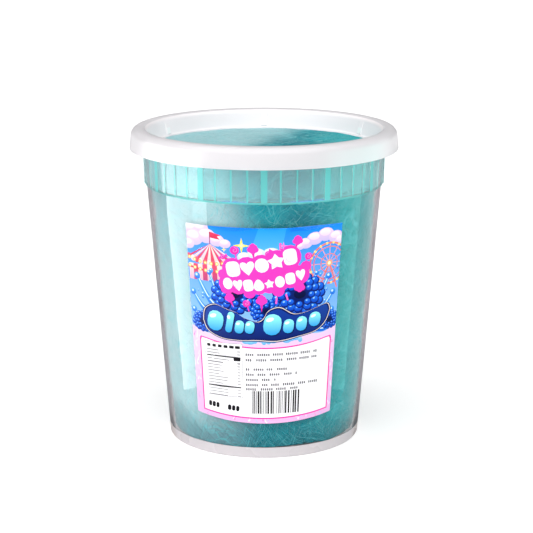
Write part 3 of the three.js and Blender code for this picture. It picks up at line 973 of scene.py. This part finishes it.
def sweet(x, z, size, kind, angle=0.0):
    if kind == "swirl":
        draw(ribbon(turned([(0, 0), (0, -size * 2.3)], x, z, angle), size * 0.28), pink)
        draw(oval(x, z, size), pink, ink(240, 44, 170))
        coil = [(x + size * 0.09 * t * math.cos(t), z + size * 0.09 * t * math.sin(t)) for t in range(1, 9)]
        draw(ribbon(coil, 0.18), ink(255, 160, 220))
    elif kind == "floss":
        draw(turned([(-size * 0.35, 0), (size * 0.35, 0), (0, -size * 2.1)], x, z, angle), ink(240, 44, 170))
        for u, v, part in ((-0.5, 0.1, 0.55), (0.5, 0.1, 0.55), (0, -0.15, 0.6),
                           (-0.25, 0.65, 0.5), (0.3, 0.6, 0.5), (0, 0.95, 0.4)):
            draw(oval(x + u * size, z + v * size, part * size, count=10), pink)
    elif kind == "twist":
        draw(bar(x, z, size * 0.8, size * 3.2, angle, size * 0.3), pink)
        for i in range(5):
            u, v = turned([(0, size * (0.56 * i - 1.1))], x, z, angle)[0]
            draw(bar(u, v, size * 0.78, size * 0.14, angle + 0.5), ink(255, 170, 224))
    else:
        for side in (-1, 1):
            wing = [(0, 0), (side * size * 1.7, size * 0.7), (side * size * 1.7, -size * 0.7)]
            draw(turned(wing, x, z, angle), pink)
        draw(oval(x, z, size * 0.95), pink, ink(240, 44, 170))
        draw(ribbon(arc(x, z, size * 0.5, 30, 300, 8), 0.18), ink(255, 160, 220))


def badge():
    for place in ((-12, 95.4, 1.9, "swirl", 0.2), (-4.5, 95.7, 2.3, "floss", 0.1),
                  (1.6, 94.2, 1.3, "wrapped", 1.0), (6.6, 97, 1.2, "twist", 0.06),
                  (13.6, 99.2, 2.1, "floss", -0.3), (18.4, 92.4, 1.6, "swirl", -0.5),
                  (-17, 92.2, 1.2, "wrapped", 0.4)):
        sweet(*place)
    # plump white sweets in two rows, where a name would be, on a bumpy patch
    lean = 0.17
    first = (("square", -12.8, 87, 2.9, 3.4), ("heart", -6.8, 87.9, 3, 3.2), ("round", -0.9, 89, 2.9, 3.2),
             ("star", 4.9, 90.6, 3.5, 3.6), ("square", 10.6, 92.6, 2.8, 3.6))
    kinds = ("round", "heart", "square", "drop", "star", "round", "square", "heart")
    second = [(kind, -15.2 + 4.35 * i, 80.4 - 1.1 * math.sin(0.4 * i) + 0.09 * i * i, 2.05, 2.6)
              for i, kind in enumerate(kinds)]
    for kind, x, z, width, height in (*first, *second):
        draw(oval(x, z, width + 1.9, height + 1.7, lean), pink)
    draw(bar(-1, 85.6, 31, 8.6, lean, 3.5), pink)
    for x, z, size in ((-17.2, 84.4, 2.2), (-16.2, 78, 2.2), (17.4, 88, 2.4), (-6, 76.8, 2.6), (6, 77.6, 2.6)):
        draw(oval(x, z, size), pink)
    for place in ((-14.6, 73.6, 2.1, "floss", 0.4), (-7.4, 71.8, 1.6, "swirl", 0.3),
                  (-1, 72.8, 2.3, "floss", 0), (5.2, 73.2, 0.95, "twist", -0.1),
                  (9.6, 74.6, 0.95, "twist", 0.3), (15, 78.2, 2.3, "floss", 2.9)):
        sweet(*place)
    for kind, x, z, width, height in (*first, *second):
        plump(kind, x, z, width, height, lean)
    draw(star(-9.1, 97.6, 4, 3.5, 0.9), ink(255, 240, 40))
    draw(star(-9.1, 97.6, 4, 1.6, 0.6), ink(255, 252, 190))
    draw(star(7.8, 97.6, 4, 1.9, 0.5), ink(250, 130, 220))
    draw(star(-16.4, 95.4, 4, 1.2, 0.35), ink(255, 236, 120))


def plump(kind, x, z, width, height, angle):
    ring = [math.tau * i / 20 for i in range(20)]
    if kind == "square":
        draw(bar(x, z, 2 * width, 2 * height, angle, width * 0.7), white)
    elif kind == "heart":
        points = []
        for t in ring:
            lobes = 13 * math.cos(t) - 5 * math.cos(2 * t) - 2 * math.cos(3 * t)
            points.append((width * math.sin(t) ** 3, height * lobes / 14 + 0.1))
        draw(turned(points, x, z, angle), white)
    elif kind == "star":
        draw(turned(star(0, 0, 5, width * 1.05, width * 0.62), x, z, angle), white)
    elif kind == "drop":
        points = [(width * math.sin(t) * (1 - 0.3 * math.cos(t)), height * math.cos(t)) for t in ring]
        draw(turned(points, x, z, angle), white)
    else:
        draw(oval(x, z, width, height, angle), white)
    draw(ribbon(arc(x, z, width * 0.62, 190, 290, 5, height / width), 0.22), ink(255, 176, 226))


def banner():
    top = curve([(-26.6, 62.8), (-25.6, 67.6), (-21, 69.9), (-15.5, 68.2), (-11.6, 67), (-7.4, 64.6),
                 (-1, 63.2), (1.8, 67.6), (6.4, 69.2), (11.6, 66.4), (16.4, 66.6), (22, 68.2), (27.6, 69.6),
                 (29.2, 67)])
    low = curve([(29.2, 67), (27.2, 62.2), (22.4, 58.6), (14, 57), (5.5, 55.6), (-3, 56), (-10, 55.6),
                 (-18.2, 56), (-24.4, 58.6), (-26.6, 62.8)])
    outline = top[:-1] + low[:-1]
    middle = Vector((1.2, 62.4))

    def swollen(amount):
        grown = []
        for point in outline:
            away = Vector(point) - middle
            away.x *= 0.42
            grown.append(tuple(Vector(point) + away.normalized() * amount))
        return grown

    draw(swollen(1.5), navy)
    draw(swollen(1.05), ink(252, 236, 222))
    draw(swollen(0.75), ink(4, 26, 92))
    draw(outline, ink(16, 62, 160), ink(6, 30, 104))
    # blank rounded sweets along the ribbon
    drops = ((-21.6, 63, 7.4, 9.2), (-14.9, 62.9, 3.0, 9.6), (-10.7, 61, 3.9, 6), (-6.2, 61, 4, 5.8),
             (3.6, 62.3, 7.6, 9.6), (10.6, 61.4, 4.6, 6.4), (16.4, 62.2, 4.8, 6.6), (22.6, 63.6, 5.6, 6.6))
    for i, (x, z, width, height) in enumerate(drops):
        lean = -0.22 + 0.02 * i
        draw(bar(x + 0.4, z - 0.5, width, height, lean, min(width, height) * 0.46), ink(2, 20, 78))
        draw(bar(x, z, width, height, lean, min(width, height) * 0.46), ink(150, 252, 255), ink(40, 158, 232))
        draw(oval(x - width * 0.14, z + height * 0.24, width * 0.24, height * 0.1, 0.3, 9), ink(236, 255, 255))


def marbling():
    side = label["halfWidth"]
    draw(curve([(-side - 1, 60), (-26, 57), (-14, 58), (0, 54), (14, 57.6), (26, 57), (side + 1, 60)])
         + [(side + 1, 10), (-side - 1, 10)], ink(236, 206, 242), ink(232, 178, 224))
    for i in range(46):
        x = chance.choice((-1, 1)) * chance.uniform(30.5, 34) if i < 30 else chance.uniform(-30, 30)
        z = chance.uniform(18, 58) if i < 30 else lowerEdge(x) + chance.uniform(0, 1.6)
        length = chance.uniform(1.2, 4)
        middle = (x + chance.uniform(-1, 1), z + length / 2)
        path = curve([(x, z), middle, (x + chance.uniform(-1.5, 1.5), z + length)], 3)
        width = chance.uniform(0.3, 0.9)
        shades = ((250, 236, 250), (240, 140, 206), (206, 196, 246))
        draw(ribbon(path, (width, 0.1)), ink(*chance.choice(shades)))
    for i in range(16):
        x = -14 + 2 * i
        drop = oval(x, 55 + chance.uniform(-1, 1), chance.uniform(1, 2.2), chance.uniform(0.7, 1.4))
        draw(drop, ink(170, 220, 250), ink(80, 170, 240))


def panel():
    def frameLine(inset):
        left, right = -30.1 + inset, 31.7 - inset
        span = right - left
        bow = [(left + span * i / 20, 55.5 - inset - 3.7 * (1 - (2 * i / 20 - 1) ** 2)) for i in range(21)]
        foot = [(right - span * i / 20, lowerEdge(right - span * i / 20, 2.1 + inset)) for i in range(21)]
        bow[0] = (left, bow[0][1] - 1.6)
        bow.insert(1, (left + 0.5, bow[0][1] + 1.2))
        bow[-1] = (right, bow[-1][1] - 1.6)
        bow.insert(-1, (right - 0.5, bow[-1][1] + 1.2))
        return bow + foot

    draw(frameLine(0), ink(255, 62, 168))
    draw(frameLine(0.65), white)
    # facts box: a thin frame, rules and grey bars in place of words
    left, right, low, high = -27.5, -9.6, 28.4, 53.2
    draw(bar((left + right) / 2, (low + high) / 2, right - left, high - low), grey)
    draw(bar((left + right) / 2, (low + high) / 2, right - left - 0.3, high - low - 0.3), white)
    for i in range(6):
        draw(bar(left + 2 + 2.75 * i, high - 1.7, chance.uniform(1.7, 2.3), 1.3, -0.02, 0.3), black)
    z = high - 3.7
    for weight in (0.35, 0.35, 0.75, 0.3, 0.5, 0.35, *[0.3] * 6, 0.75, 0.25, 0.25, 0.25):
        if weight > 0.6:
            draw(bar((left + right) / 2, z, right - left - 1.6, 0.5), black)
        else:
            reach = chance.uniform(5, 11)
            draw(bar(left + 0.9 + reach / 2, z, reach, weight), grey)
            draw(bar(right - 1.7, z, 1.4, weight), ink(80, 78, 84))
        z -= 1.38
    draw(bar(right - 2.5, high - 7.2, 3.2, 1.7, 0, 0.5), black)
    # lines of grey words
    for z, reach in ((48.6, 33), (46.1, 33.6), (41.8, 19), (39.4, 22.5), (37, 14), (34.6, 33.8), (32.6, 24.5)):
        x = -8.3
        while x < reach - 8.3:
            word = min(chance.uniform(2.4, 6.5), reach - 8.3 - x)
            rise = 0.35 * math.sin(0.05 * x)
            for k in range(max(1, int(word / 0.95))):
                stroke = bar(x + 0.45 + 0.95 * k, z + rise, 0.62, chance.uniform(0.95, 1.2), 0.03)
                draw(stroke, ink(96, 94, 100))
            x += word + 1.0
    # striped block and blank bold shapes
    x = -5.6
    while x < 16:
        width = chance.choice((0.28, 0.28, 0.5, 0.75))
        if not 4.6 < x < 5.4:
            draw(bar(x + width / 2, 26.6 - 0.2 * math.cos(x / 12), width, 10.6), black)
        x += width + chance.choice((0.26, 0.4, 0.62))
    for i, width in enumerate((2.0, 2.1, 1.9, 0, 1.1, 2.1, 2.0, 1.9, 1.1)):
        if width:
            draw(bar(-26.2 + 1.98 * i, 24.2 - 0.16 * i, width * 0.82, 2.5, -0.08, 0.7), black)


for part in (sky, clouds, tent, wheel, splash, marbling):
    part()
for place in ((-12.4, 75.4, 9.4), (15.2, 75.2, 10.4), (-27.4, 62, 5.2), (30, 62.4, 4.6), (1.2, 68.2, 6.2)):
    berry(*place)
for part in (badge, banner, panel):
    part()


def labelMesh():
    corners = []
    faces = []
    for outline, _, _ in printed:
        faces.append(list(range(len(corners), len(corners) + len(outline))))
        corners += outline
    side = label["halfWidth"]
    columns = round(2 * side / label["grid"])
    rows = label["rows"]
    for i in range(1, columns):
        for j in range(1, rows):
            x = -side + 2 * side * i / columns
            corners.append((x, lowerEdge(x) + (label["top"] - lowerEdge(x)) * j / rows))
    spots, _, pieces, _, _, owners = delaunay_2d_cdt(
        [Vector(corner) for corner in corners], [], faces, 1, label["weld"], True)
    boxes = []
    for outline, _, _ in printed:
        across, up = zip(*outline)
        boxes.append((min(across), max(across), min(up), max(up)))

    def onWall(x, z, lift):
        angle = x * label["turn"] - math.pi / 2
        radius = bodyRadius(z * mm) + lift
        return (radius * math.cos(angle), radius * math.sin(angle), z * mm)

    count = len(spots)
    places = [onWall(x, z, label["gap"] + label["thickness"]) for x, z in spots]
    places += [onWall(x, z, label["gap"]) for x, z in spots]
    polygons = []
    inks = []
    borders = {}
    for piece, owner in zip(pieces, owners):
        if 0 not in owner:
            continue
        corner = [Vector(places[i]) for i in piece]
        facing = (corner[1] - corner[0]).cross(corner[2] - corner[0])
        outward = facing.dot(Vector((corner[0].x, corner[0].y, 0)))
        face = list(piece) if outward > 0 else list(piece)[::-1]
        x = sum(spots[i].x for i in piece) / 3
        z = sum(spots[i].y for i in piece) / 3
        shape = max(i for i in owner if boxes[i][0] <= x <= boxes[i][1] and boxes[i][2] <= z <= boxes[i][3])
        low, high = boxes[shape][2:]
        _, top, bottom = printed[shape]
        for i in face:
            share = min(max((spots[i].y - low) / (high - low), 0), 1)
            inks.append([b + (t - b) * share for t, b in zip(top, bottom)])
        polygons.append(face)
        for a, b in zip(face, face[1:] + face[:1]):
            if (b, a) in borders:
                del borders[(b, a)]
            else:
                borders[(a, b)] = True
    fronts = len(polygons)
    polygons += [[i + count for i in face[::-1]] for face in polygons[:fronts]]
    polygons += [[b, a, a + count, b + count] for a, b in borders]
    mesh = bpy.data.meshes.new("labelSheet")
    mesh.from_pydata(places, [], polygons)
    printColour = mesh.color_attributes.new("print", "FLOAT_COLOR", "CORNER")
    inks += [white] * (len(mesh.loops) - len(inks))
    printColour.data.foreach_set("color", [part for colour in inks for part in (*colour, 1)])
    mesh.update()
    return mesh


def printMaterial():
    material, tree, shader = newMaterial("printedLabel")
    place = objectPlace(tree)
    colour = addNode(tree, "ShaderNodeAttribute", attribute_name="print").outputs["Color"]
    grain = mapRange(tree, noiseFactor(tree, place, 2600.0, 2.0), 0.3, 0.7, 0.0, 0.12)
    setSockets(tree, shader, {
        "Base Color": mixColour(tree, grain, colour, (0.72, 0.7, 0.75, 1), "MULTIPLY"),
        "Roughness": mapRange(tree, noiseFactor(tree, place, 60.0, 2.0), 0.3, 0.7, 0.5, 0.62),
        "Specular IOR Level": 0.08,
        "Normal": bumpNormal(tree, noiseFactor(tree, place, 260.0), 0.1, 0.2 * mm),
    })
    return material


sheet = newObject("label_sheet", labelMesh())
sheet.data.materials.append(printMaterial())
smooth(sheet, 40)
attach(sheet, "root")
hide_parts("label")
print("label ready", len(sheet.data.polygons))


# Studio
studio = {"floorSize": 12.0, "floorLow": -0.1 * mm, "flagSize": 1.6, "roomLight": 0.25, "overhead": 3.0}


def matte(name, colour, roughness, glow=0.0):
    material, tree, shader = newMaterial(name)
    setSockets(tree, shader, {
        "Base Color": colour, "Roughness": roughness,
        "Emission Color": (1, 1, 1, 1), "Emission Strength": glow})
    return material


def plane(name, size, z, material):
    half = size / 2
    mesh = bpy.data.meshes.new(name)
    corners = [(-half, -half, z), (half, -half, z), (half, half, z), (-half, half, z)]
    mesh.from_pydata(corners, [], [(0, 1, 2, 3)])
    mesh.materials.append(material)
    return newObject(name, mesh)


paper = matte("floorPaper", (0.94, 0.94, 0.94, 1), 0.8, 0.2)
floor = plane("floor", studio["floorSize"], studio["floorLow"], paper)

# a dark cloth, only for the gloss of the wall
flag = plane("flag", studio["flagSize"], 0, matte("flagCloth", (0.34, 0.33, 0.35, 1), 0.9))
for unseen in ("visible_camera", "visible_diffuse", "visible_transmission", "visible_shadow"):
    setattr(flag, unseen, False)

world = bpy.data.worlds.new("studio")
bpy.context.scene.world = world
world.use_nodes = True
air = world.node_tree
seen = addNode(air, "ShaderNodeLightPath").outputs["Is Camera Ray"]
room = mapRange(air, seen, 0, 1, studio["roomLight"], 1.0)
setSocket(air, air.nodes["Background"].inputs["Strength"], room)
air.nodes["Background"].inputs["Color"].default_value = (1, 1, 1, 1)


def softbox(name, place, aim, width, height, radiance, reflectionOnly=False, colour=(1, 1, 1)):
    # A lamp for reflections only shows in the gloss and lights nothing.
    light = bpy.data.lights.new(name, "AREA")
    light.color = colour
    light.shape = "RECTANGLE"
    light.size = width
    light.size_y = height
    light.energy = radiance * math.pi * width * height
    lamp = newObject(name, light)
    lamp.location = place
    lamp.rotation_euler = (Vector(aim) - Vector(place)).to_track_quat("-Z", "Y").to_euler()
    lamp.visible_camera = False
    lamp.visible_diffuse = not reflectionOnly
    lamp.visible_transmission = not reflectionOnly


def skyPanel(name, tilt, turn, spread, strength):
    light = bpy.data.lights.new(name, "SUN")
    light.angle = math.radians(spread)
    light.energy = strength
    lamp = newObject(name, light)
    lamp.rotation_euler = (math.radians(tilt), 0, math.radians(turn))


skyPanel("overhead", 32, -8, 100, studio["overhead"])
softbox("keyLeft", (-0.8, -0.45, 0.35), (0, 0, 0.07), 0.5, 0.6, 0.75)
softbox("rimRight", (0.7, 0.35, 0.25), (0, 0, 0.07), 0.4, 0.5, 1.4)
softbox("stripLeft", (-0.095, -0.0475, 0.076), (0, -0.0475, 0.076), 0.081, 0.15, 6.4, reflectionOnly=True)
softbox("stripInner", (-0.0949, -0.073, 0.076), (0, -0.073, 0.076), 0.03, 0.15, 4.2, reflectionOnly=True)
softbox("cardRight", (0.095, -0.053, 0.076), (0, -0.053, 0.076), 0.088, 0.15, 2.2, reflectionOnly=True,
        colour=(0.3, 1.0, 0.85))
print("studio ready")
